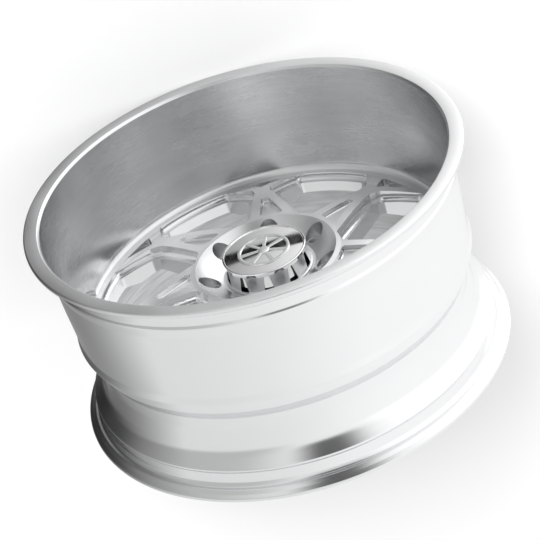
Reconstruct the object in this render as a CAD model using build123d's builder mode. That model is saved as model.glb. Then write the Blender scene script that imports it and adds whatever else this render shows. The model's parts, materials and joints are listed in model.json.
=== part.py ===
from build123d import *
import math
import os

# Wheel on its side axis: the wheel spins about Y and its face looks toward -Y.
# Every revolved section is drawn as (radius, station), station counted toward the face.
SECTION = Plane(origin=(0, 0, 0), x_dir=(1, 0, 0), z_dir=(0, 0, -1))
AXLE = Axis.Y


def face_plane(station):
    """Plane square to the axle, seen from the face, at the given station."""
    return Plane.XZ.offset(station)


def turned(angle, part):
    """The part turned about the axle, anticlockwise as seen from the face."""
    return part.rotate(AXLE, -angle)


# Rim size: 20 x 10 inch J contour
FLANGE_R = 273.9
BEAD_R = 256.4
HALF_WIDTH = 127.0
HALF_OVERALL = 139.0
HUMP_R = 258.0
LIP_INNER_R = 256.1
DISH_TOP_R = 254.0
DISH_BASE_R = 236.4
DISH_BASE_S = 0.4
SEAT_R = 235.6
SHOULDER_R = 231.0
DROP_R = 236.0
RIDGE_R = 252.2

# Forged centre
SPOKES = 7
PITCH = 360.0 / SPOKES
SPOKE_PHASE = 6.3
LUG_PHASE = 1.8
RING_FACE_S = -6.3
WELD_FOOT_R = 231.2
WELD_ROOT_S = -14.0
WELD_COVE_R = 234.6
WELD_COVE_S = -3.6
RING_BACK_S = -29.2
LEG_BACK_S = -16.6
PAD_S = -19.0
PAD_R = 92.0
WELL_R = 89.3
WELL_S = 21.2
FLOOR_R = 59.0
FLOOR_S = 2.3
HUB_BORE_R = 46.6
HUB_BORE_TOP_S = -8.0
CAP_BORE_R = 48.6
LUG_PCD_R = 75.0
LUG_POCKET_R = 12.5
LUG_FLOOR_S = -3.0
LUG_HOLE_R = 8.5
INSERT_R = 11.5
STUD_HOLE_R = 7.4
SEAT_MOUTH_R = 10.6
SEAT_CONE_DEPTH = 5.5
LEDGE_INSET = 9.4
LEDGE_DROP = 13.5
COVE_R = 6.5
CORNER_R = 7.0
KNEE_R = 9.0
LEG_POCKET_DEPTH = 7.5
FORK_POCKET_S = -17.0

# Cap
CAP_GAP = 0.3
CAP_PLATE_R = 53.4
CAP_TOP_S = 31.4
CAP_SEAT_S = 26.0
CAP_TOWER_TOP_R = 51.2
CAP_TOWER_BASE_R = 53.2
CAP_FOOT_R = 55.9
CAP_WALL = 4.5
CAP_SLOTS = 10
CAP_SLOT_PHASE = 10.1
SPIGOT_R = 48.54
SPIGOT_END_S = -7.6
O_RING_S = -3.4
CAP_SCREWS = 5
CAP_SCREW_R = 41.5
EMBLEM_R = 33.0
EMBLEM_HUB_R = 8.0
EMBLEM_HEIGHT = 1.4

# Valve
VALVE_ANGLE = -2.9
VALVE_S = 40.0
VALVE_SEAT_R = 248.2
VALVE_INNER_R = 242.4
VALVE_HOLE_R = 4.15


def polar(radius, angle):
    return (radius * math.cos(math.radians(angle)), radius * math.sin(math.radians(angle)))


def spoke_point(across, along, spoke=0):
    """A point in the frame of one spoke: across is clockwise, along is outward."""
    a = math.radians(SPOKE_PHASE + spoke * PITCH)
    x = along * math.cos(a) + across * math.sin(a)
    y = along * math.sin(a) - across * math.cos(a)
    return (x, y)


# ---- barrel -------------------------------------------------------------------
def flange_tyre_side(side):
    """Tyre side of one flange from the lip down to the end of the safety hump."""
    return [
        (FLANGE_R, side * (HALF_OVERALL - 3.0)),
        (FLANGE_R, side * (HALF_OVERALL - 4.6)),
        (FLANGE_R - 2.0, side * (HALF_OVERALL - 6.2)),
        (FLANGE_R - 5.2, side * (HALF_WIDTH + 4.0)),
        (FLANGE_R - 7.8, side * (HALF_WIDTH + 1.2)),
        (FLANGE_R - 10.0, side * HALF_WIDTH),
        (BEAD_R + 4.6, side * HALF_WIDTH),
        (BEAD_R + 1.6, side * (HALF_WIDTH - 2.2)),
        (BEAD_R, side * (HALF_WIDTH - 6.0)),
        (BEAD_R - 1.2, side * (HALF_WIDTH - 17.0)),
        (HUMP_R, side * (HALF_WIDTH - 20.5)),
        (HUMP_R, side * (HALF_WIDTH - 23.0)),
    ]


FRONT_TYRE = flange_tyre_side(1)
REAR_TYRE = flange_tyre_side(-1)

with BuildPart() as barrel:
    with BuildSketch(SECTION):
        with BuildLine():
            front_face = Line((LIP_INNER_R, HALF_OVERALL), (FLANGE_R - 3.0, HALF_OVERALL))
            ThreePointArc(front_face @ 1, (FLANGE_R - 0.88, HALF_OVERALL - 0.88), FRONT_TYRE[0])
            front_lip = Polyline(*FRONT_TYRE)
            drum = Spline(front_lip @ 1, (254.6, 90.0), (253.2, 55.0), (250.2, 6.0), (249.6, -1.0))
            ridge = Polyline(
                drum @ 1,
                (RIDGE_R, -8.2),
                (RIDGE_R, -9.6),
                (246.5, -12.5),
                (244.0, -28.0),
                (DROP_R, -42.0),
                (DROP_R - 1.0, -60.0),
            )
            flare = ThreePointArc(ridge @ 1, (241.5, -89.0), (254.4, -101.0))
            rear_lip = Polyline(flare @ 1, *reversed(REAR_TYRE))
            rear_edge = ThreePointArc(
                rear_lip @ 1,
                (FLANGE_R - 0.88, 0.88 - HALF_OVERALL),
                (FLANGE_R - 3.0, -HALF_OVERALL),
            )
            rear_face = Polyline(
                rear_edge @ 1,
                (LIP_INNER_R, -HALF_OVERALL),
                (LIP_INNER_R - 2.4, 2.4 - HALF_OVERALL),
                (250.6, -112.0),
            )
            rear_inside = ThreePointArc(rear_face @ 1, (236.4, -86.0), (SHOULDER_R - 0.8, -60.0))
            inside = Polyline(
                rear_inside @ 1,
                (SHOULDER_R, RING_BACK_S),
                (SEAT_R, RING_BACK_S),
                (SEAT_R, WELD_ROOT_S),
                (DISH_BASE_R, DISH_BASE_S),
            )
            dish = ThreePointArc(inside @ 1, (247.0, 66.0), (DISH_TOP_R, HALF_OVERALL - 3.2))
            Line(dish @ 1, front_face @ 0)
        make_face()
    revolve(axis=AXLE)
    valve_out = Plane(
        origin=(
            VALVE_SEAT_R * math.cos(math.radians(VALVE_ANGLE)),
            -VALVE_S,
            VALVE_SEAT_R * math.sin(math.radians(VALVE_ANGLE)),
        ),
        x_dir=(0, 1, 0),
        z_dir=(-math.cos(math.radians(VALVE_ANGLE)), 0, -math.sin(math.radians(VALVE_ANGLE))),
    )
    with BuildSketch(valve_out):
        Circle(12.0)
    extrude(amount=-20.0, mode=Mode.SUBTRACT)
    with BuildSketch(valve_out.offset(VALVE_SEAT_R - VALVE_INNER_R)):
        Circle(10.5)
    extrude(amount=20.0, mode=Mode.SUBTRACT)
    with BuildSketch(valve_out.offset(-20.0)):
        Circle(VALVE_HOLE_R)
    extrude(amount=40.0, mode=Mode.SUBTRACT)

# ---- forged centre ------------------------------------------------------------
FACE_CURVE = [(95.9, 20.7), (131.5, 19.1), (156.1, 15.7), (172.6, 11.8), (197.2, 4.0), (222.0, RING_FACE_S)]


def ledge_profile():
    """Face curve lowered to the ledge that runs round every window."""
    lowered = [(r, s - LEDGE_DROP) for r, s in FACE_CURVE[:-2]]
    return lowered + [(200.0, -9.0), (216.0, -14.3), (SEAT_R, -14.5)]


def window_corners():
    """Corners of the window on the clockwise side of spoke 0."""
    return [
        spoke_point(44.4, 81.5),
        spoke_point(12.8, 166.0),
        spoke_point(12.8, 182.5),
        spoke_point(47.6, 219.0),
        spoke_point(-48.6, 217.6, -1),
        spoke_point(-11.8, 182.5, -1),
        spoke_point(-7.6, 167.0, -1),
        spoke_point(-14.9, 95.3, -1),
    ]


def floor_edges(cutter):
    """Edges round the floor of a pocket cutter: those that lie wholly behind the crown."""
    return cutter.edges().filter_by(lambda edge: edge.bounding_box().min.Y > -WELL_S)


OUTER_ARC_MID = polar(224.4, SPOKE_PHASE - PITCH / 2)
HUB_ARC_MID = polar(94.6, SPOKE_PHASE - 35.4)


def window_wires():
    c = window_corners()
    Polyline(c[0], c[1], c[2], c[3])
    ThreePointArc(c[3], OUTER_ARC_MID, c[4])
    Polyline(c[4], c[5], c[6], c[7])
    ThreePointArc(c[7], HUB_ARC_MID, c[0])


with BuildPart() as window_upper:
    with BuildSketch(face_plane(-60.0)) as upper_outline:
        with BuildLine():
            window_wires()
        make_face()
        fillet(upper_outline.vertices().filter_by(lambda v: v.Y**2 + v.X**2 > 200.0**2), radius=CORNER_R)
        fillet(
            upper_outline.vertices().filter_by(lambda v: 150.0**2 < v.Y**2 + v.X**2 < 190.0**2),
            radius=KNEE_R,
        )
        fillet(upper_outline.vertices().filter_by(lambda v: v.Y**2 + v.X**2 < 120.0**2), radius=CORNER_R)
    extrude(amount=120.0)
    with BuildSketch(SECTION):
        with BuildLine():
            low = ledge_profile()
            floor = Spline(*low)
            Polyline(floor @ 1, (SEAT_R, 60.0), (70.0, 60.0), (70.0, low[0][1]), floor @ 0)
        make_face()
    revolve(axis=AXLE, mode=Mode.INTERSECT)
    fillet(floor_edges(window_upper), radius=COVE_R)

with BuildPart() as window_through:
    with BuildSketch(face_plane(-60.0)) as lower_outline:
        with BuildLine():
            window_wires()
        make_face()
        offset(amount=-LEDGE_INSET, kind=Kind.INTERSECTION, mode=Mode.REPLACE)
        fillet(lower_outline.vertices(), radius=5.0)
    extrude(amount=120.0)

with BuildPart() as leg_pocket:
    with BuildSketch(face_plane(-60.0)) as pocket_outline:
        with BuildLine():
            Polyline(
                spoke_point(-2.6, 98.2),
                spoke_point(0.6, 142.5),
                spoke_point(10.0, 142.5),
                spoke_point(28.2, 93.6),
                close=True,
            )
        make_face()
        fillet(pocket_outline.vertices(), radius=3.0)
    extrude(amount=120.0)
    with BuildSketch(SECTION):
        with BuildLine():
            deep = Spline(*[(r, s - LEG_POCKET_DEPTH) for r, s in FACE_CURVE[:3]])
            Polyline(deep @ 1, (FACE_CURVE[2][0], 60.0), (70.0, 60.0), (70.0, (deep @ 0).Y), deep @ 0)
        make_face()
    revolve(axis=AXLE, mode=Mode.INTERSECT)
    fillet(floor_edges(leg_pocket), radius=2.0)

with BuildPart() as fork_pocket:
    with BuildSketch(face_plane(FORK_POCKET_S)) as fork_outline:
        with BuildLine():
            Polyline(
                spoke_point(-24.6, 220.6),
                spoke_point(0.0, 189.0),
                spoke_point(25.6, 220.6),
                close=True,
            )
        make_face()
        fillet(fork_outline.vertices(), radius=3.0)
    extrude(amount=60.0)
    fillet(floor_edges(fork_pocket), radius=2.0)

with BuildPart() as forged_center:
    with BuildSketch(SECTION):
        with BuildLine():
            crown = Spline(*FACE_CURVE, tangents=[(1, -0.02), (1, -0.42)])
            rim_back = Polyline(
                crown @ 1,
                (WELD_FOOT_R, RING_FACE_S),
                (SEAT_R, WELD_ROOT_S),
                (SEAT_R, RING_BACK_S),
                (196.0, RING_BACK_S),
                (170.0, LEG_BACK_S),
                (PAD_R + 2.0, LEG_BACK_S),
                (PAD_R, PAD_S),
                (HUB_BORE_R + 1.0, PAD_S),
                (HUB_BORE_R, PAD_S + 1.0),
                (HUB_BORE_R, HUB_BORE_TOP_S),
                (CAP_BORE_R, HUB_BORE_TOP_S),
                (CAP_BORE_R, FLOOR_S),
                (FLOOR_R, FLOOR_S),
            )
            bowl = ThreePointArc(rim_back @ 1, (75.6, 9.8), (WELL_R, WELL_S))
            Line(bowl @ 1, crown @ 0)
        make_face()
    revolve(axis=AXLE)
    for k in range(SPOKES):
        add(turned(k * PITCH, window_upper.part), mode=Mode.SUBTRACT)
        add(turned(k * PITCH, window_through.part), mode=Mode.SUBTRACT)
        add(turned(k * PITCH, leg_pocket.part), mode=Mode.SUBTRACT)
        add(turned(k * PITCH, fork_pocket.part), mode=Mode.SUBTRACT)
    LUG_CENTRES = [polar(LUG_PCD_R, LUG_PHASE + k * PITCH) for k in range(SPOKES)]
    with BuildSketch(face_plane(LUG_FLOOR_S)):
        with Locations(*LUG_CENTRES):
            Circle(LUG_POCKET_R)
    extrude(amount=60.0, mode=Mode.SUBTRACT)
    with BuildSketch(face_plane(PAD_S - 1.0)):
        with Locations(*LUG_CENTRES):
            Circle(LUG_HOLE_R)
    extrude(amount=60.0, mode=Mode.SUBTRACT)
    with BuildSketch(face_plane(LUG_FLOOR_S - 9.0)):
        with Locations(*LUG_CENTRES):
            Circle(INSERT_R)
    extrude(amount=30.0, mode=Mode.SUBTRACT)

with BuildPart() as lug_seat_inserts:
    with BuildSketch(face_plane(LUG_FLOOR_S - 9.0)):
        with Locations(*LUG_CENTRES):
            Circle(INSERT_R)
    extrude(amount=9.0)
    with BuildSketch(face_plane(LUG_FLOOR_S - 10.0)):
        with Locations(*LUG_CENTRES):
            Circle(STUD_HOLE_R)
    extrude(amount=30.0, mode=Mode.SUBTRACT)
    with BuildSketch(face_plane(LUG_FLOOR_S)):
        with Locations(*LUG_CENTRES):
            Circle(SEAT_MOUTH_R)
    extrude(amount=-SEAT_CONE_DEPTH, taper=30.0, mode=Mode.SUBTRACT)

# ---- welds --------------------------------------------------------------------
with BuildPart() as front_weld_ring:
    with BuildSketch(SECTION):
        with BuildLine():
            wall_leg = Line((SEAT_R, WELD_ROOT_S), (DISH_BASE_R, DISH_BASE_S))
            cove = ThreePointArc(wall_leg @ 1, (WELD_COVE_R, WELD_COVE_S), (WELD_FOOT_R, RING_FACE_S))
            Line(cove @ 1, wall_leg @ 0)
        make_face()
    revolve(axis=AXLE)

with BuildPart() as rear_weld_bead:
    with BuildSketch(SECTION):
        with BuildLine():
            ring_leg = Line((SHOULDER_R, RING_BACK_S), (SHOULDER_R - 5.0, RING_BACK_S))
            crest = ThreePointArc(
                ring_leg @ 1,
                (SHOULDER_R - 1.9, RING_BACK_S - 3.4),
                (SHOULDER_R - 0.16, RING_BACK_S - 6.0),
            )
            Line(crest @ 1, ring_leg @ 0)
        make_face()
    revolve(axis=AXLE)

# ---- centre cap ---------------------------------------------------------------
with BuildPart() as center_cap_body:
    with BuildSketch(SECTION):
        with BuildLine():
            Polyline(
                (SPIGOT_R - 1.0, SPIGOT_END_S),
                (SPIGOT_R, SPIGOT_END_S + 1.0),
                (SPIGOT_R, FLOOR_S + CAP_GAP),
                (CAP_FOOT_R, FLOOR_S + CAP_GAP),
                (CAP_FOOT_R, FLOOR_S + 1.2),
                (CAP_TOWER_BASE_R + 0.8, FLOOR_S + 1.9),
                (CAP_TOWER_BASE_R, FLOOR_S + 3.0),
                (CAP_TOWER_TOP_R, CAP_SEAT_S),
                (38.0, CAP_SEAT_S),
                (38.0, CAP_SEAT_S - 2.2),
                (CAP_TOWER_TOP_R - CAP_WALL, CAP_SEAT_S - 2.2),
                (SPIGOT_R - 4.0, FLOOR_S),
                (SPIGOT_R - 4.0, SPIGOT_END_S),
                close=True,
            )
        make_face()
    revolve(axis=AXLE)
    for k in range(CAP_SLOTS):
        slot_angle = math.radians(CAP_SLOT_PHASE + k * 360.0 / CAP_SLOTS)
        side_on = Plane(
            origin=(40.0 * math.cos(slot_angle), 0, 40.0 * math.sin(slot_angle)),
            x_dir=(-math.sin(slot_angle), 0, math.cos(slot_angle)),
            z_dir=(math.cos(slot_angle), 0, math.sin(slot_angle)),
        )
        toward_face = -1.0 if side_on.y_dir.Y > 0 else 1.0
        with BuildSketch(side_on) as slot:
            with BuildLine():
                Polyline(
                    (-6.4, toward_face * (FLOOR_S + 2.2)),
                    (6.4, toward_face * (FLOOR_S + 2.2)),
                    (3.2, toward_face * (CAP_SEAT_S - 0.9)),
                    (-3.2, toward_face * (CAP_SEAT_S - 0.9)),
                    close=True,
                )
            make_face()
            fillet(slot.vertices(), radius=1.1)
        extrude(amount=20.0, mode=Mode.SUBTRACT)
    with BuildSketch(SECTION):
        with Locations((SPIGOT_R - 0.55, O_RING_S)):
            Rectangle(3.1, 2.6)
    revolve(axis=AXLE, mode=Mode.SUBTRACT)
    with BuildSketch(face_plane(CAP_SEAT_S - 10.0)):
        with PolarLocations(CAP_SCREW_R, CAP_SCREWS):
            Circle(1.7)
    extrude(amount=20.0, mode=Mode.SUBTRACT)

with BuildPart() as cap_o_ring:
    with BuildSketch(SECTION):
        with Locations((SPIGOT_R - 1.05, O_RING_S)):
            Circle(1.0)
    revolve(axis=AXLE)

DISC_R = CAP_PLATE_R - 3.2
DISC_S = CAP_TOP_S - 0.8

with BuildPart() as center_cap_plate:
    with BuildSketch(SECTION):
        with BuildLine():
            under = Line((0.0, CAP_SEAT_S), (CAP_PLATE_R - 0.8, CAP_SEAT_S))
            side = Polyline(under @ 1, (CAP_PLATE_R, CAP_SEAT_S + 0.8), (CAP_PLATE_R, CAP_TOP_S - 1.6))
            brow = ThreePointArc(side @ 1, (CAP_PLATE_R - 0.47, CAP_TOP_S - 0.47), (CAP_PLATE_R - 1.6, CAP_TOP_S))
            Polyline(
                brow @ 1,
                (CAP_PLATE_R - 2.6, CAP_TOP_S),
                (DISC_R, DISC_S),
                (0.0, DISC_S),
                under @ 0,
            )
        make_face()
    revolve(axis=AXLE)
    with BuildSketch(face_plane(CAP_SEAT_S)):
        with PolarLocations(CAP_SCREW_R, CAP_SCREWS):
            Circle(1.5)
    extrude(amount=3.6, mode=Mode.SUBTRACT)

with BuildPart() as cap_plate_screws:
    with BuildSketch(face_plane(CAP_SEAT_S - 4.7)):
        with PolarLocations(CAP_SCREW_R, CAP_SCREWS):
            Circle(2.9)
    extrude(amount=2.5)
    with BuildSketch(face_plane(CAP_SEAT_S - 2.2)):
        with PolarLocations(CAP_SCREW_R, CAP_SCREWS):
            Circle(1.5)
    extrude(amount=5.6)
    with BuildSketch(face_plane(CAP_SEAT_S - 4.7)):
        with PolarLocations(CAP_SCREW_R, CAP_SCREWS):
            RegularPolygon(radius=1.44, side_count=6)
    extrude(amount=1.5, mode=Mode.SUBTRACT)

with BuildPart() as center_cap_emblem:
    with BuildSketch(face_plane(DISC_S)):
        Circle(EMBLEM_R)
        Circle(EMBLEM_R - 4.0, mode=Mode.SUBTRACT)
        Circle(EMBLEM_HUB_R)
        with PolarLocations((EMBLEM_R + EMBLEM_HUB_R) / 2 - 1.5, SPOKES):
            Rectangle(EMBLEM_R - EMBLEM_HUB_R, 5.0)
    extrude(amount=EMBLEM_HEIGHT)

# ---- tyre valve ---------------------------------------------------------------
STEM_R = 4.0
VALVE_THROAT = VALVE_SEAT_R - VALVE_INNER_R
STEM_TIP = VALVE_THROAT + 27.0
CORE_R = 2.6
CORE_START = STEM_TIP - 16.0


def along_valve(height):
    """Plane square to the valve stem, height counted inward from the tyre side seat."""
    return valve_out.offset(height)


with BuildPart() as valve_stem:
    with BuildSketch(along_valve(-6.5)):
        Circle(8.4)
    extrude(amount=3.5)
    with BuildSketch(along_valve(-3.0)):
        Circle(STEM_R)
    extrude(amount=STEM_TIP + 3.0)
    with BuildSketch(along_valve(-8.0)):
        Circle(1.5)
    extrude(amount=60.0, mode=Mode.SUBTRACT)
    with BuildSketch(along_valve(CORE_START)):
        Circle(CORE_R)
    extrude(amount=40.0, mode=Mode.SUBTRACT)

with BuildPart() as valve_grommet:
    with BuildSketch(along_valve(-3.0)):
        Circle(8.8)
        Circle(STEM_R, mode=Mode.SUBTRACT)
    extrude(amount=3.0)

with BuildPart() as valve_washer:
    with BuildSketch(along_valve(VALVE_THROAT)):
        Circle(8.0)
        Circle(STEM_R, mode=Mode.SUBTRACT)
    extrude(amount=1.2)

with BuildPart() as valve_nut:
    with BuildSketch(along_valve(VALVE_THROAT + 1.2)):
        RegularPolygon(radius=7.0, side_count=6)
        Circle(STEM_R, mode=Mode.SUBTRACT)
    extrude(amount=4.5)

with BuildPart() as valve_core_body:
    with BuildSketch(along_valve(STEM_TIP - 7.0)):
        Circle(CORE_R)
        Circle(1.0, mode=Mode.SUBTRACT)
    extrude(amount=6.0)
    with BuildSketch(along_valve(STEM_TIP - 11.0)):
        Circle(2.1)
        Circle(1.75, mode=Mode.SUBTRACT)
    extrude(amount=4.0)
    with BuildSketch(along_valve(STEM_TIP - 11.0)):
        Circle(2.1)
        Circle(0.75, mode=Mode.SUBTRACT)
    extrude(amount=0.6)

with BuildPart() as valve_core_pin:
    with BuildSketch(along_valve(STEM_TIP - 13.6)):
        Circle(0.45)
    extrude(amount=13.2)
    with BuildSketch(along_valve(STEM_TIP - 13.6)):
        Circle(1.6)
    extrude(amount=1.2)
    with BuildSketch(along_valve(STEM_TIP - 1.4)):
        Circle(0.9)
    extrude(amount=1.0)
    with BuildSketch(along_valve(STEM_TIP - 7.9)):
        Circle(1.5)
    extrude(amount=0.5)

SPRING_LOW = STEM_TIP - 10.2
SPRING_HIGH = STEM_TIP - 8.1
WIRE_R = 0.16
with BuildPart() as valve_core_spring:
    with BuildLine():
        coil = Helix(
            pitch=0.6,
            height=SPRING_HIGH - SPRING_LOW,
            radius=1.1,
            center=along_valve(SPRING_LOW).origin,
            direction=valve_out.z_dir,
        )
    with BuildSketch(Plane(origin=coil @ 0, z_dir=coil % 0)):
        Circle(WIRE_R)
    sweep(path=coil, is_frenet=True)

with BuildPart() as valve_cap:
    with BuildSketch(along_valve(STEM_TIP - 8.5)):
        Circle(5.6)
    extrude(amount=11.0)
    with BuildSketch(along_valve(STEM_TIP - 8.5)):
        Circle(STEM_R + CAP_GAP)
    extrude(amount=9.3, mode=Mode.SUBTRACT)
    with BuildSketch(along_valve(STEM_TIP - 7.5)):
        with PolarLocations(5.9, 14):
            Circle(0.6)
    extrude(amount=8.6, mode=Mode.SUBTRACT)

with BuildPart() as valve_cap_seal:
    with BuildSketch(along_valve(STEM_TIP + 0.3)):
        Circle(STEM_R + CAP_GAP)
        Circle(1.6, mode=Mode.SUBTRACT)
    extrude(amount=0.5)

PIECES = {
    "barrel": barrel,
    "forged_center": forged_center,
    "front_weld_ring": front_weld_ring,
    "rear_weld_bead": rear_weld_bead,
    "lug_seat_inserts": lug_seat_inserts,
    "center_cap_body": center_cap_body,
    "center_cap_plate": center_cap_plate,
    "center_cap_emblem": center_cap_emblem,
    "cap_plate_screws": cap_plate_screws,
    "cap_o_ring": cap_o_ring,
    "valve_stem": valve_stem,
    "valve_grommet": valve_grommet,
    "valve_washer": valve_washer,
    "valve_nut": valve_nut,
    "valve_core_body": valve_core_body,
    "valve_core_pin": valve_core_pin,
    "valve_core_spring": valve_core_spring,
    "valve_cap": valve_cap,
    "valve_cap_seal": valve_cap_seal,
}

os.makedirs("parts", exist_ok=True)
for name, piece in PIECES.items():
    piece.part.label = name
    export_step(piece.part, f"parts/{name}.step")
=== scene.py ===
import json
import math

import bmesh
import bpy
from mathutils import Matrix, Vector


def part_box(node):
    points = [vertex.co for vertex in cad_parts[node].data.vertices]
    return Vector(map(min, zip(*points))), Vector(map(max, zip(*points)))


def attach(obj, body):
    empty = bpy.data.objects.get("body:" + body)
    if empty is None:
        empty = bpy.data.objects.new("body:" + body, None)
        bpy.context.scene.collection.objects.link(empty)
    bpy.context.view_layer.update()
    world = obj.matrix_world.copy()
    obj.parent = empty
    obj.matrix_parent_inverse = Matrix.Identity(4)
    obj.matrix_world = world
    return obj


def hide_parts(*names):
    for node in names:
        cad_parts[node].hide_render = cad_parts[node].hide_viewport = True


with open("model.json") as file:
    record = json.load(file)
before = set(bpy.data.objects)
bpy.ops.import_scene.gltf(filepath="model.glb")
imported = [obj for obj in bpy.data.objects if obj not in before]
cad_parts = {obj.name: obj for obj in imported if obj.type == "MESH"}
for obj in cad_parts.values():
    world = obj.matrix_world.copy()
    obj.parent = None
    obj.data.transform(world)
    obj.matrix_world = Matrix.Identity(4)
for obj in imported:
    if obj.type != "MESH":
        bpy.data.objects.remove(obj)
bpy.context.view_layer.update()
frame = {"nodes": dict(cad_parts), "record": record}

MM = 0.001

# The wheel spins about Y and its face looks toward -Y. A profile point is (radius, station) in
# millimetres, station counted toward the face, so y = -station.
FLOOR_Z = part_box("barrel")[0].z
BOWL_R = 89.3
BORE_R = 50.0
SPOKES = 7

# The cap's tower narrows evenly from its base to its top.
TOWER_BASE_R = 53.2
TOWER_BASE_S = 5.3
TOWER_TOP_R = 51.2
TOWER_TOP_S = 26.0

# Turned pieces keep a pinhole of this radius on their axis.
PINHOLE_R = 0.4

# The valve stands on the dish wall. Its frame has its origin on the tyre side seat and z inward.
VALVE_TURN = math.radians(-2.9)
VALVE_STATION = 40.0
VALVE_SEAT_R = 248.2
VALVE_THROAT = 5.8
VALVE_FRAME = Matrix(
    (
        (0, math.sin(VALVE_TURN), -math.cos(VALVE_TURN), VALVE_SEAT_R * MM * math.cos(VALVE_TURN)),
        (1, 0, 0, -VALVE_STATION * MM),
        (0, -math.cos(VALVE_TURN), -math.sin(VALVE_TURN), VALVE_SEAT_R * MM * math.sin(VALVE_TURN)),
        (0, 0, 0, 1),
    )
)

# A narrow black flag in front of the wheel, low down: its direction is 58.5 degrees below the horizon.
STRIP_ANGLE = math.radians(58.5)
STRIP_NORMAL = (0.0, -math.sin(STRIP_ANGLE), math.cos(STRIP_ANGLE))

CAMERA_DISTANCE = 2.825
CAMERA_ELEVATION = math.radians(57.64)
CAMERA_ROLL = math.radians(162.25)
CAMERA_LENS = 152.6
SENSOR = 36.0


# ---- mesh helpers ---------------------------------------------------------------------------
def arc(a, middle, b, steps):
    """Points on the circle through three points, from a up to but without b."""
    (x1, y1), (x2, y2), (x3, y3) = a, middle, b
    d = 2 * (x1 * (y2 - y3) + x2 * (y3 - y1) + x3 * (y1 - y2))
    s1, s2, s3 = x1 * x1 + y1 * y1, x2 * x2 + y2 * y2, x3 * x3 + y3 * y3
    cx = (s1 * (y2 - y3) + s2 * (y3 - y1) + s3 * (y1 - y2)) / d
    cy = (s1 * (x3 - x2) + s2 * (x1 - x3) + s3 * (x2 - x1)) / d
    radius = math.hypot(x1 - cx, y1 - cy)
    start = math.atan2(y1 - cy, x1 - cx)
    sweep = math.remainder(math.atan2(y2 - cy, x2 - cx) - start, math.tau)
    sweep += math.remainder(math.atan2(y3 - cy, x3 - cx) - math.atan2(y2 - cy, x2 - cx), math.tau)
    angles = [start + sweep * i / steps for i in range(steps)]
    return [(cx + radius * math.cos(t), cy + radius * math.sin(t)) for t in angles]


def rounded(corners, steps=5, closed=True):
    """A profile whose corners, given as (radius, station, rounding), are replaced by arcs."""
    out = []
    count = len(corners)
    for i, (x, y, rounding) in enumerate(corners):
        here = Vector((x, y))
        if rounding == 0 or (not closed and i in (0, count - 1)):
            out.append((x, y))
            continue
        before = Vector(corners[i - 1][:2]) - here
        after = Vector(corners[(i + 1) % count][:2]) - here
        half_angle = before.angle(after) / 2
        cut = rounding / math.tan(half_angle)
        cut = min(cut, 0.48 * before.length, 0.48 * after.length)
        a = here + before.normalized() * cut
        b = here + after.normalized() * cut
        for j in range(steps + 1):
            t = j / steps
            p = a.lerp(here, t).lerp(here.lerp(b, t), t)
            out.append((p.x, p.y))
    return out


def new_object(name, bm, smooth_angle=math.radians(30)):
    mesh = bpy.data.meshes.new(name)
    bmesh.ops.recalc_face_normals(bm, faces=bm.faces)
    bm.to_mesh(mesh)
    bm.free()
    mesh.shade_smooth()
    mesh.set_sharp_from_angle(angle=smooth_angle)
    obj = bpy.data.objects.new(name, mesh)
    bpy.context.scene.collection.objects.link(obj)
    return obj


def lathe(name, profile, segments, smooth_angle=math.radians(30), place=None):
    """A closed ring: the closed profile turned about the axle, or about the z axis of a place."""
    bm = bmesh.new()
    rings = []
    for radius, station in profile:
        ring = []
        for k in range(segments):
            t = math.tau * k / segments
            point = Vector((radius * MM * math.cos(t), -station * MM, radius * MM * math.sin(t)))
            if place is not None:
                point = place @ Vector((point.x, point.z, -point.y))
            ring.append(bm.verts.new(point))
        rings.append(ring)
    for a, b in zip(rings, rings[1:] + rings[:1]):
        for k in range(segments):
            n = (k + 1) % segments
            bm.faces.new((a[k], a[n], b[n], b[k]))
    return new_object(name, bm, smooth_angle)


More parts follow.
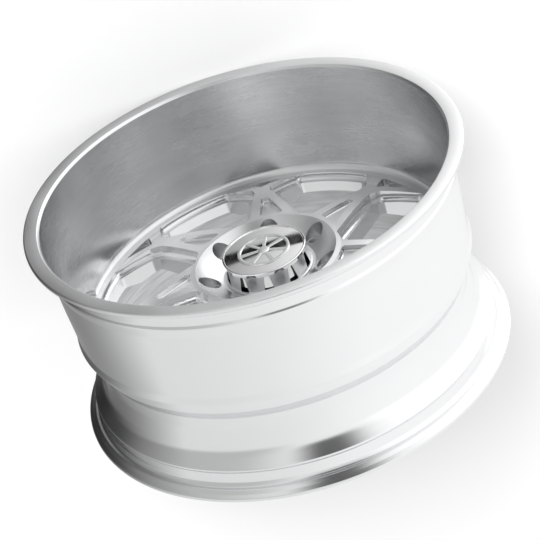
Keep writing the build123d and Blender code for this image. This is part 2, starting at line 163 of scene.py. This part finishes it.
# ---- materials ------------------------------------------------------------------------------
class Shader:
    """A small helper that adds and links the nodes of one material."""

    def __init__(self, name, color, metallic=0.0, roughness=0.5):
        self.material = bpy.data.materials.new(name)
        self.material.use_nodes = True
        self.tree = self.material.node_tree
        self.bsdf = self.tree.nodes["Principled BSDF"]
        self.bsdf.inputs["Base Color"].default_value = (*color, 1)
        self.bsdf.inputs["Metallic"].default_value = metallic
        self.bsdf.inputs["Roughness"].default_value = roughness

    def node(self, kind, settings=None, **links):
        made = self.tree.nodes.new(kind)
        for key, value in (settings or {}).items():
            setattr(made, key, value)
        for key, value in links.items():
            self.feed(made.inputs[key], value)
        return made

    def feed(self, socket, value):
        if isinstance(value, bpy.types.NodeSocket):
            self.tree.links.new(value, socket)
        else:
            socket.default_value = value

    def math(self, operation, a, b=0.0, c=0.0):
        made = self.node("ShaderNodeMath", {"operation": operation})
        for socket, value in zip(made.inputs, (a, b, c)):
            self.feed(socket, value)
        return made.outputs[0]

    def place(self):
        return self.node("ShaderNodeTexCoord").outputs["Object"]

    def around_axle(self):
        """Sockets for the radius, the station along the axle and the angle round it."""
        split = self.node("ShaderNodeSeparateXYZ", Vector=self.place())
        x, y, z = split.outputs
        radius = self.math("SQRT", self.math("ADD", self.math("MULTIPLY", x, x), self.math("MULTIPLY", z, z)))
        return radius, y, self.math("ARCTAN2", z, x)

    def vector(self, x, y, z):
        return self.node("ShaderNodeCombineXYZ", X=x, Y=y, Z=z).outputs[0]

    def noise(self, vector, scale, detail=3.0):
        made = self.node("ShaderNodeTexNoise", Vector=vector, Scale=scale, Detail=detail)
        return made.outputs["Fac"]

    def remap(self, value, start, end, low=0.0, high=1.0):
        """Maps start..end to low..high and stays there outside it."""
        made = self.node("ShaderNodeMapRange", Value=value)
        for key, number in (("From Min", start), ("From Max", end), ("To Min", low), ("To Max", high)):
            made.inputs[key].default_value = number
        return made.outputs[0]

    def spread(self, value, low, high):
        """Maps a noise value, mostly between 0.3 and 0.7, to low..high."""
        return self.remap(value, 0.3, 0.7, low, high)

    def mix(self, factor, a, b):
        """Blends two colours, each a socket or three numbers."""
        made = self.node("ShaderNodeMix", {"data_type": "RGBA"})
        self.feed(made.inputs["Factor"], factor)
        for key, color in (("A", a), ("B", b)):
            self.feed(made.inputs[key], color if isinstance(color, bpy.types.NodeSocket) else (*color, 1))
        return made.outputs["Result"]

    def bump(self, height, distance, strength=1.0, normal=None):
        made = self.node("ShaderNodeBump", Height=height, Distance=distance, Strength=strength)
        if normal:
            self.feed(made.inputs["Normal"], normal)
        return made.outputs[0]

    def finish(self, color=None, roughness=None, normal=None):
        for key, value in (("Base Color", color), ("Roughness", roughness), ("Normal", normal)):
            if value is not None:
                self.feed(self.bsdf.inputs[key], value)
        return self.material


def turned_metal(name, color, roughness, anisotropy, line_depth, streak=1.0, arcs=0.0):
    """Aluminium turned on a lathe: tool lines run round the axle, roughness and tone vary softly.

    Arcs is how much rougher the long dull streaks round the axle are.
    """
    s = Shader(name, color, 1.0, roughness)
    radius, station, angle = s.around_axle()
    fine = s.noise(s.vector(radius, station, s.math("MULTIPLY", angle, 0.006)), 2600.0, 2.0)
    broad = s.noise(s.vector(radius, station, s.math("MULTIPLY", angle, 0.02)), 240.0, 3.0)
    cloud = s.noise(s.place(), 9.0, 3.0)
    tone = s.math("ADD", s.math("MULTIPLY", broad, 0.5 * streak), s.math("MULTIPLY", cloud, 1 - 0.5 * streak))
    light = [min(1.0, c * (1 + 0.04 * streak)) for c in color]
    dark = [c * (1 - 0.07 * streak) for c in color]
    base = s.spread(cloud, roughness - 0.03, roughness + 0.03)
    if arcs:
        streaks = s.noise(s.vector(radius, station, s.math("MULTIPLY", angle, 0.035)), 45.0, 2.0)
        base = s.math("ADD", base, s.spread(streaks, 0.0, arcs))
    rough = s.math("ADD", base, s.spread(fine, -0.02 * streak, 0.02 * streak))
    s.bsdf.inputs["Anisotropic"].default_value = anisotropy
    s.bsdf.inputs["Anisotropic Rotation"].default_value = 0.25
    tangent = s.node("ShaderNodeTangent", {"direction_type": "RADIAL", "axis": "Y"})
    s.feed(s.bsdf.inputs["Tangent"], tangent.outputs[0])
    lines = s.math("ADD", s.math("MULTIPLY", fine, 0.6), s.math("MULTIPLY", broad, 0.4))
    return s.finish(s.mix(s.spread(tone, 0.0, 1.0), dark, light), rough, s.bump(lines, line_depth))


def milled_metal(name, color, roughness, edge=0.0006):
    """Satin milled aluminium with fine cutter lines and softly broken edges."""
    s = Shader(name, color, 1.0, roughness)
    radius, station, angle = s.around_axle()
    swirl = s.noise(s.vector(radius, station, s.math("MULTIPLY", angle, 0.05)), 900.0, 3.0)
    grain = s.noise(s.place(), 1400.0, 2.0)
    cloud = s.noise(s.place(), 14.0, 3.0)
    light = [min(1.0, c * 1.04) for c in color]
    dark = [c * 0.94 for c in color]
    rough = s.math("ADD", s.spread(cloud, roughness - 0.04, roughness + 0.04), s.spread(grain, -0.02, 0.02))
    soft_edge = s.node("ShaderNodeBevel", {"samples": 4}, Radius=edge)
    lines = s.math("ADD", s.math("MULTIPLY", swirl, 0.6), s.math("MULTIPLY", grain, 0.4))
    color_mix = s.mix(s.spread(cloud, 0.0, 1.0), dark, light)
    return s.finish(color_mix, rough, s.bump(lines, 0.000012, 1.0, soft_edge.outputs[0]))


def forged_metal(name, color):
    """The centre: satin on its face, smoother on milled walls, bright in the hub bowl, with painted dark
    shade in the bore.
    """
    s = Shader(name, color, 1.0, 0.3)
    radius, station, angle = s.around_axle()
    facing = s.node("ShaderNodeSeparateXYZ", Vector=s.node("ShaderNodeNewGeometry").outputs["Normal"])
    faceness = s.math("POWER", s.math("ABSOLUTE", facing.outputs["Y"]), 12.0)
    outside_bowl = s.remap(radius, BOWL_R * MM, (BOWL_R + 0.8) * MM)
    turning = s.noise(s.vector(radius, station, s.math("MULTIPLY", angle, 0.01)), 1800.0, 2.0)
    grain = s.noise(s.place(), 1500.0, 2.0)
    cloud = s.noise(s.place(), 16.0, 3.0)
    ribs = s.node("ShaderNodeTexWave", {"wave_type": "BANDS", "bands_direction": "X"})
    s.feed(ribs.inputs["Vector"], s.vector(radius, 0.0, 0.0))
    ribs.inputs["Scale"].default_value = 180.0
    rough = s.math("ADD", 0.20, s.math("MULTIPLY", faceness, 0.16))
    rough = s.math("ADD", s.math("MULTIPLY", rough, outside_bowl), s.spread(cloud, -0.03, 0.03))
    rough = s.math("ADD", rough, s.math("MULTIPLY", s.math("SUBTRACT", 1.0, outside_bowl), 0.36))
    soft_edge = s.node("ShaderNodeBevel", {"samples": 4}, Radius=0.0007)
    lines = s.math("ADD", s.math("MULTIPLY", turning, 0.5), s.math("MULTIPLY", grain, 0.3))
    lines = s.math("ADD", lines, s.math("MULTIPLY", s.math("MULTIPLY", ribs.outputs["Fac"], faceness), 0.25))
    light = [min(1.0, c * 1.03) for c in color]
    dark = [c * 0.93 for c in color]
    bare = s.mix(s.spread(cloud, 0.0, 1.0), dark, light)
    # Within the bore radius the colour is painted dark grey: painted shade for the bore behind the cap.
    outside_painted_bore_shade = s.remap(radius, BORE_R * MM, (BORE_R + 1.0) * MM)
    with_painted_shade = s.mix(outside_painted_bore_shade, (0.20, 0.20, 0.205), bare)
    return s.finish(with_painted_shade, rough, s.bump(lines, 0.000012, 1.0, soft_edge.outputs[0]))


def tower_metal(name, color):
    """The cap's tower: turned outside, with painted black shade below its surface, inside the slots."""
    s = Shader(name, color, 1.0, 0.3)
    radius, station, angle = s.around_axle()
    surface = s.remap(station, -TOWER_TOP_S * MM, -TOWER_BASE_S * MM, TOWER_TOP_R * MM, TOWER_BASE_R * MM)
    # Below the tower's surface, inside the slots, the colour is painted near black: painted shade for the
    # slots' interiors.
    inside = s.remap(s.math("SUBTRACT", surface, radius), 0.3 * MM, 0.9 * MM)
    turning = s.noise(s.vector(radius, station, s.math("MULTIPLY", angle, 0.01)), 2200.0, 2.0)
    cloud = s.noise(s.place(), 40.0, 3.0)
    bare = s.mix(s.spread(cloud, 0.0, 1.0), [c * 0.94 for c in color], color)
    with_painted_shade = s.mix(inside, bare, (0.012, 0.012, 0.013))
    soft_edge = s.node("ShaderNodeBevel", {"samples": 4}, Radius=0.5 * MM)
    return s.finish(with_painted_shade, s.spread(cloud, 0.38, 0.46), s.bump(turning, 0.000008, 1.0, soft_edge.outputs[0]))


def mirror_metal(name, color):
    """Polished metal with faint smears."""
    s = Shader(name, color, 1.0, 0.04)
    smear = s.noise(s.place(), 60.0, 4.0)
    light = [min(1.0, c * 1.02) for c in color]
    dark = [c * 0.97 for c in color]
    return s.finish(s.mix(s.spread(smear, 0.0, 1.0), dark, light), s.spread(smear, 0.02, 0.07))


def rubber(name):
    s = Shader(name, (0.02, 0.02, 0.02), 0.0, 0.6)
    grain = s.noise(s.place(), 2200.0, 3.0)
    color = s.mix(s.spread(grain, 0.0, 1.0), (0.015, 0.015, 0.016), (0.035, 0.034, 0.033))
    return s.finish(color, s.spread(grain, 0.5, 0.72), s.bump(grain, 0.00004))


LOOKS = {
    "barrel_alloy": turned_metal("barrel_alloy", (0.87, 0.873, 0.88), 0.20, 0.5, 0.000004, 0.3),
    "dish_alloy": turned_metal("dish_alloy", (0.73, 0.733, 0.74), 0.24, 0.55, 0.000006, 1.0, 0.05),
    "lip_alloy": turned_metal("lip_alloy", (0.84, 0.843, 0.85), 0.32, 0.3, 0.000006, 0.6),
    # The inner barrel's darker colour is partly its bare unpolished surface and partly painted shade for the
    # occlusion inside the barrel.
    "inner_alloy": turned_metal("inner_alloy", (0.52, 0.523, 0.53), 0.34, 0.5, 0.00003, 2.4),
    "center_alloy": forged_metal("center_alloy", (0.78, 0.783, 0.79)),
    "weld_alloy": turned_metal("weld_alloy", (0.80, 0.805, 0.81), 0.34, 0.3, 0.00002),
    "insert_steel": milled_metal("insert_steel", (0.50, 0.50, 0.51), 0.30, 0.0003),
    "cap_alloy": tower_metal("cap_alloy", (0.78, 0.783, 0.79)),
    "cap_mirror": mirror_metal("cap_mirror", (0.86, 0.86, 0.865)),
    "emblem_alloy": milled_metal("emblem_alloy", (0.78, 0.785, 0.79), 0.25, 0.0003),
    "screw_steel": milled_metal("screw_steel", (0.42, 0.42, 0.43), 0.35, 0.0002),
    "seal_rubber": rubber("seal_rubber"),
    "valve_alloy": milled_metal("valve_alloy", (0.66, 0.665, 0.675), 0.26, 0.0002),
    "core_brass": milled_metal("core_brass", (0.76, 0.56, 0.26), 0.25, 0.0001),
    "spring_steel": milled_metal("spring_steel", (0.58, 0.58, 0.58), 0.28, 0.0001),
}
NODE_SLOT = {part["node"]: part["material_slot"] for part in frame["record"]["subparts"]}


def dress(obj, slot):
    obj.data.materials.clear()
    obj.data.materials.append(LOOKS[slot])


for node, obj in frame["nodes"].items():
    dress(obj, NODE_SLOT[node])


# ---- barrel ---------------------------------------------------------------------------------
def flange(side):
    """Corners of one flange from its face over the rim to the safety hump."""
    return [
        (256.1, side * 139.0, 1.0),
        (273.9, side * 139.0, 2.6),
        (273.9, side * 134.2, 1.6),
        (268.9, side * 131.2, 5.0),
        (264.6, side * 127.0, 3.0),
        (260.2, side * 127.0, 4.0),
        (256.6, side * 122.0, 4.0),
        (255.3, side * 109.0, 3.0),
        (258.0, side * 106.0, 2.0),
        (258.0, side * 103.8, 2.0),
    ]


def barrel_profile():
    """The closed profile and, for each of its edges, the surface that it belongs to."""
    tread = [
        (254.8, 92.0, 8.0),
        (253.2, 55.0, 20.0),
        (250.2, 6.0, 8.0),
        (249.6, -1.0, 3.0),
        (252.2, -8.0, 0.8),
        (252.2, -9.8, 0.8),
        (246.6, -12.6, 2.0),
        (244.0, -28.0, 12.0),
        (236.0, -42.0, 9.0),
        (235.0, -60.0, 14.0),
        (241.5, -89.0, 24.0),
        (254.2, -100.5, 4.0),
    ]
    inner = [(253.7, -136.6, 1.0), (250.6, -112.0, 10.0), (236.6, -86.0, 20.0), (230.2, -60.0, 8.0)]
    seat = [(231.0, -29.2, 0), (235.6, -29.2, 0), (235.6, -14.0, 0)]
    outside = rounded([(254.0, 135.8, 0)] + flange(1) + tread + flange(-1)[::-1] + inner[:1])
    inside = rounded([(256.1, -139.0, 0)] + inner + seat, closed=False)[1:]
    dish = arc((236.4, 0.4), (247.0, 66.0), (254.0, 135.8), 40)
    points = outside[:-6] + inside + dish
    surfaces = ["lip_alloy" if abs(station) > 133 else "barrel_alloy" for radius, station in outside[:-6]]
    surfaces += ["inner_alloy"] * len(inside) + ["dish_alloy"] * len(dish)
    return points, surfaces


def cut_hole(obj, plane, radius, low, high):
    """Cuts a round hole along the valve's axis, between two heights counted inward from its seat."""
    bm = bmesh.new()
    length = (high - low) * MM
    size = {"radius1": radius * MM, "radius2": radius * MM, "depth": length}
    bmesh.ops.create_cone(bm, cap_ends=True, segments=64, **size)
    bmesh.ops.transform(bm, matrix=plane @ Matrix.Translation((0, 0, (low + high) / 2 * MM)), verts=bm.verts)
    cutter = new_object("cutter", bm)
    change = obj.modifiers.new("hole", "BOOLEAN")
    change.operation = "DIFFERENCE"
    change.solver = "EXACT"
    change.object = cutter
    view = bpy.context.evaluated_depsgraph_get()
    mesh = bpy.data.meshes.new_from_object(obj.evaluated_get(view))
    obj.modifiers.clear()
    obj.data = mesh
    bpy.data.objects.remove(cutter)


def sharpen_valve_edges(mesh):
    """Marks the low angled edges of the valve's seats as sharp, so that they shade cleanly."""
    bm = bmesh.new()
    bm.from_mesh(mesh)
    into_valve = VALVE_FRAME.inverted()
    for edge in bm.edges:
        ends = [into_valve @ v.co for v in edge.verts]
        near = all(end.xy.length < 13 * MM and end.z > -20 * MM for end in ends)
        if near and len(edge.link_faces) == 2 and edge.calc_face_angle() > math.radians(4):
            edge.smooth = False
    bm.to_mesh(mesh)
    bm.free()


def make_barrel():
    points, surfaces = barrel_profile()
    shell = lathe("barrel_shell", points, 480, math.radians(24))
    names = ["barrel_alloy", "lip_alloy", "dish_alloy", "inner_alloy"]
    for name in names:
        shell.data.materials.append(LOOKS[name])
    for face in shell.data.polygons:
        face.material_index = names.index(surfaces[face.index // 480])
    cut_hole(shell, VALVE_FRAME, 12.0, -20.0, 0.0)
    cut_hole(shell, VALVE_FRAME, 4.15, -10.0, 12.0)
    cut_hole(shell, VALVE_FRAME, 10.5, VALVE_THROAT, 20.0)
    shell.data.shade_smooth()
    shell.data.set_sharp_from_angle(angle=math.radians(24))
    sharpen_valve_edges(shell.data)
    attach(shell, "wheel")
    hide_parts("barrel")


make_barrel()


# ---- centre cap -----------------------------------------------------------------------------
CAP_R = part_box("center_cap_plate")[1].x / MM
CAP_TOP = -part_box("center_cap_plate")[0].y / MM
CAP_UNDER = -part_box("center_cap_plate")[1].y / MM


def make_cap_disc():
    """The polished disc: a thin bright rim round a shallow dome."""
    edge = CAP_R - 3.4
    dome = arc((edge, CAP_TOP - 1.1), (edge / 2, CAP_TOP - 0.45), (PINHOLE_R, CAP_TOP - 0.2), 40)
    rim = rounded(
        [
            (PINHOLE_R, CAP_UNDER, 0),
            (CAP_R, CAP_UNDER, 0.8),
            (CAP_R, CAP_TOP, 1.5),
            (CAP_R - 2.7, CAP_TOP, 0.5),
            (edge, CAP_TOP - 1.1, 0.3),
        ],
        closed=False,
    )
    disc = lathe("cap_disc", rim + dome[1:], 256)
    dress(disc, "cap_mirror")
    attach(disc, "center_cap")
    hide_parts("center_cap_plate")


make_cap_disc()


def add_bar(bm, angle, inner, outer, width, low, high):
    """A raised bar along a radius of the badge, wider outside, with its top edges broken."""
    corners = []
    for radius, half in ((inner, width * 0.36), (outer, width * 0.5)):
        for side in (-1, 1):
            for station, shrink in ((low, 0.0), (high - 0.3, 0.0), (high, 0.3)):
                corners.append((radius, side * (half - shrink), station))
    rim = [corners[i] for i in (0, 1, 2, 5, 4, 3)]
    far = [corners[i + 6] for i in (0, 1, 2, 5, 4, 3)]
    rings = []
    for ring in (rim, far):
        made = []
        for radius, across, station in ring:
            x = radius * math.cos(angle) - across * math.sin(angle)
            z = radius * math.sin(angle) + across * math.cos(angle)
            made.append(bm.verts.new((x * MM, -station * MM, z * MM)))
        rings.append(made)
    for j in range(6):
        n = (j + 1) % 6
        bm.faces.new((rings[0][j], rings[0][n], rings[1][n], rings[1][j]))
    bm.faces.new(rings[0][::-1])
    bm.faces.new(rings[1])


def make_badge():
    """A plain raised badge on the disc: a ring, one bar to each spoke and a domed hub."""
    near_corner, far_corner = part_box("center_cap_emblem")
    low = -far_corner.y / MM
    high = -near_corner.y / MM
    outer = far_corner.x / MM
    inner = outer - 4.0
    hub = 8.0
    band = rounded([(inner, low, 0), (inner, high, 0.6), (outer, high, 0.6), (outer, low, 0)])
    ring = lathe("cap_badge_ring", band, 192)
    dome = arc((0.2, high), (hub * 0.6, high - 0.12), (hub - 0.6, high - 0.35), 10)
    knob = lathe("cap_badge_hub", dome + [(hub - 0.1, high - 0.8), (hub, low), (0.2, low)], 96)
    bm = bmesh.new()
    for k in range(SPOKES):
        add_bar(bm, math.tau * k / SPOKES, hub - 0.6, inner + 0.6, 5.0, low, high - 0.1)
    bars = new_object("cap_badge_bars", bm, math.radians(20))
    for piece in (ring, knob, bars):
        dress(piece, "emblem_alloy")
        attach(piece, "center_cap")
        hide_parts("center_cap_emblem")


make_badge()


# ---- valve ------------------------------------------------------------------------------------
def make_valve_stem():
    """Head, threaded stem and the stepped bore that holds the core."""
    tip = VALVE_THROAT + 27.0
    thread_start, pitch = VALVE_THROAT + 0.6, 0.8
    outline = rounded([(1.5, -6.5, 0), (8.4, -6.5, 1.2), (8.4, -3.0, 0.4), (4.0, -3.0, 0)], closed=False)
    turns = int((tip - 1.0 - thread_start) / pitch)
    for k in range(turns):
        h = thread_start + k * pitch
        outline += [(3.98, h), (3.98, h + 0.15), (3.62, h + 0.4), (3.98, h + 0.65)]
    outline += [(3.9, tip - 0.7), (3.4, tip), (2.6, tip), (2.6, tip - 16.0), (1.5, tip - 16.0)]
    stem = lathe("valve_stem_threaded", outline, 96, math.radians(25), VALVE_FRAME)
    dress(stem, "valve_alloy")
    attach(stem, "wheel")
    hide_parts("valve_stem")


make_valve_stem()


# ---- weld behind the centre -------------------------------------------------------------------
def make_rear_weld():
    """A laid bead: its crest rises and falls as each pool of metal overlaps the last."""
    bm = bmesh.new()
    segments, around, pools = 1400, 9, 350
    rings = []
    for k in range(segments):
        t = math.tau * k / segments
        pool = abs(math.sin(pools * t / 2)) ** 0.6
        ring = []
        for j in range(around):
            u = math.pi / 2 * j / (around - 1)
            reach = 4.6 + 0.9 * pool * math.sin(2 * u)
            radius = 231.0 - reach * math.cos(u)
            station = -29.2 - reach * math.sin(u) * 1.15
            ring.append((radius, station))
        ring.append((231.0, -29.2))
        rings.append([bm.verts.new((r * MM * math.cos(t), -q * MM, r * MM * math.sin(t))) for r, q in ring])
    for a, b in zip(rings, rings[1:] + rings[:1]):
        for j in range(len(a)):
            n = (j + 1) % len(a)
            bm.faces.new((a[j], a[n], b[n], b[j]))
    bead = new_object("rear_weld", bm, math.radians(50))
    dress(bead, "weld_alloy")
    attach(bead, "wheel")
    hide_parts("rear_weld_bead")


make_rear_weld()


# ---- stage ----------------------------------------------------------------------------------
def make_floor():
    bm = bmesh.new()
    bmesh.ops.create_circle(bm, cap_ends=True, segments=96, radius=9.0)
    floor = new_object("floor", bm)
    floor.location.z = FLOOR_Z - 0.0005
    s = Shader("floor_paint", (0.92, 0.92, 0.92), 0.0, 0.9)
    mottle = s.noise(s.place(), 3.0, 2.0)
    s.bsdf.inputs["Specular IOR Level"].default_value = 0.1
    s.finish(s.mix(s.spread(mottle, 0.0, 1.0), (0.91, 0.91, 0.91), (0.925, 0.925, 0.925)))
    floor.data.materials.append(s.material)
    floor.visible_glossy = False


def make_world():
    """A soft studio as a direction map.

    It is bright all round and dark low on the +X side. In front it has a dark gap, dimmer +X and
    brighter -X sides, and low down a slope in brightness with a narrow black flag across it.
    """
    world = bpy.data.worlds.new("studio")
    bpy.context.scene.world = world
    world.use_nodes = True
    tree = world.node_tree

    def node(kind, settings=None):
        made = tree.nodes.new(kind)
        for key, value in (settings or {}).items():
            setattr(made, key, value)
        return made

    def feed(socket, value):
        if isinstance(value, bpy.types.NodeSocket):
            tree.links.new(value, socket)
        else:
            socket.default_value = value

    def calculate(operation, *values):
        made = node("ShaderNodeMath", {"operation": operation})
        for socket, value in zip(made.inputs, values):
            feed(socket, value)
        return made.outputs[0]

    def ramp(value, start, end, at_start, at_end):
        made = node("ShaderNodeMapRange", {"interpolation_type": "SMOOTHSTEP"})
        for socket, number in zip(made.inputs, (value, start, end, at_start, at_end)):
            feed(socket, number)
        return made.outputs[0]

    def toward(direction):
        made = node("ShaderNodeVectorMath", {"operation": "DOT_PRODUCT"})
        feed(made.inputs[0], where)
        made.inputs[1].default_value = Vector(direction).normalized()
        return made.outputs["Value"]

    where = node("ShaderNodeTexCoord").outputs["Generated"]
    x, y, z = toward((1, 0, 0)), toward((0, 1, 0)), toward((0, 0, 1))
    brightness = ramp(x, -1.0, 1.0, 1.08, 0.80)

    low_side = node("ShaderNodeMapRange", {"interpolation_type": "LINEAR"})
    for socket, number in zip(low_side.inputs, (toward((0.6, 0.0, -0.8)), 0.42, 1.0, 1.0, 0.03)):
        feed(socket, number)
    brightness = calculate("MULTIPLY", brightness, low_side.outputs[0])
    gap = ramp(calculate("ABSOLUTE", calculate("ADD", x, 0.03)), 0.08, 0.30, 0.9, 0.0)
    gap = calculate("MULTIPLY", gap, ramp(y, -0.5, -0.75, 0.0, 1.0))
    gap = calculate("MULTIPLY", gap, ramp(z, -0.12, 0.05, 0.0, 1.0))
    brightness = calculate("MULTIPLY", brightness, calculate("SUBTRACT", 1.0, gap))
    low_front = calculate("MULTIPLY", ramp(y, 0.0, -0.35, 0.0, 1.0), ramp(z, -0.3, -0.6, 0.0, 1.0))
    slope = calculate("MULTIPLY", low_front, ramp(x, -0.22, 0.18, 1.3, -0.6))
    brightness = calculate("MULTIPLY", brightness, calculate("ADD", 1.0, slope))
    front = ramp(y, -0.1, -0.35, 0.0, 1.0)
    dark_side = calculate("MULTIPLY", front, ramp(x, 0.2, 0.6, 0.0, -0.35))
    light_side = calculate("MULTIPLY", front, ramp(x, -0.2, -0.6, 0.0, 0.2))
    sides = calculate("ADD", dark_side, light_side)
    brightness = calculate("MULTIPLY", brightness, calculate("ADD", 1.0, sides))
    strip = ramp(calculate("ABSOLUTE", toward(STRIP_NORMAL)), 0.017, 0.023, 1.0, 0.0)
    strip = calculate("MULTIPLY", strip, low_front)
    strip = calculate("MULTIPLY", strip, ramp(calculate("ABSOLUTE", x), 0.2, 0.3, 0.97, 0.0))
    brightness = calculate("MULTIPLY", brightness, calculate("SUBTRACT", 1.0, strip))
    tree.links.new(brightness, tree.nodes["Background"].inputs["Strength"])
    tree.nodes["Background"].inputs["Color"].default_value = (1, 1, 1, 1)


def area_light(name, place, target, size, power):
    data = bpy.data.lights.new(name, "AREA")
    data.shape = "RECTANGLE"
    data.size, data.size_y = size
    data.energy = power
    light = bpy.data.objects.new(name, data)
    light.location = place
    light.rotation_euler = (Vector(target) - Vector(place)).to_track_quat("-Z", "Y").to_euler()
    light.visible_glossy = False
    bpy.context.scene.collection.objects.link(light)
    return light


def make_camera():
    data = bpy.data.cameras.new("camera")
    data.lens = CAMERA_LENS
    data.sensor_width = SENSOR
    camera = bpy.data.objects.new("camera", data)
    away = Vector((0, -math.cos(CAMERA_ELEVATION), math.sin(CAMERA_ELEVATION)))
    camera.location = away * CAMERA_DISTANCE
    turn = (-away).to_track_quat("-Z", "Y").to_matrix() @ Matrix.Rotation(CAMERA_ROLL, 3, "Z")
    camera.rotation_euler = turn.to_euler()
    bpy.context.scene.collection.objects.link(camera)
    bpy.context.scene.camera = camera


make_floor()
make_world()
make_camera()
area_light("key", (0.5, -2.6, 3.2), (0, 0, 0), (1.0, 1.0), 82)
bpy.context.scene.view_settings.view_transform = "Standard"
